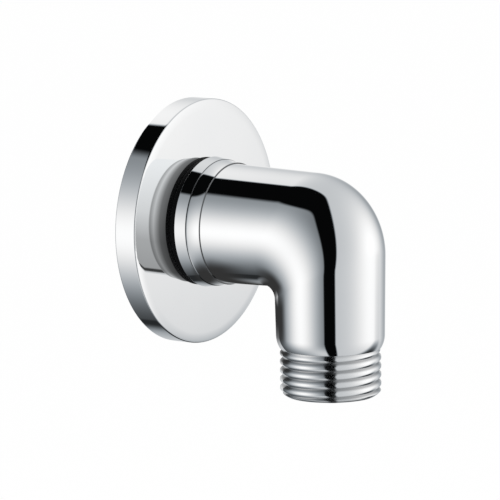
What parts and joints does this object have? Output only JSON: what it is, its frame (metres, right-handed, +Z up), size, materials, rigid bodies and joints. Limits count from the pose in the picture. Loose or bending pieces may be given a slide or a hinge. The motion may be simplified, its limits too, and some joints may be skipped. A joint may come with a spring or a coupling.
{
  "type": "wall outlet elbow",
  "caption": "Chrome wall outlet elbow: round flat-faced wall flange, stepped collar, tapered tube bent down at a right angle and a male pipe thread for a shower hose.",
  "frame": {"origin": "on the inlet axis, in the plane of the wall that the flange's back rim rests on", "axes": "+Z up; +Y into the wall along the inlet thread; the elbow reaches out along -Y and its outlet points down along -Z"},
  "size_m": [0.0516, 0.0562, 0.0594],
  "materials": {
    "chrome_plate": "polished mirror chrome plate on brass",
    "seal_rubber": "smooth matt black rubber"
  },
  "bodies": {
    "root": {"elbow_body": "chrome_plate", "wall_flange": "chrome_plate", "flange_seal": "seal_rubber"}
  },
  "joints": []
}
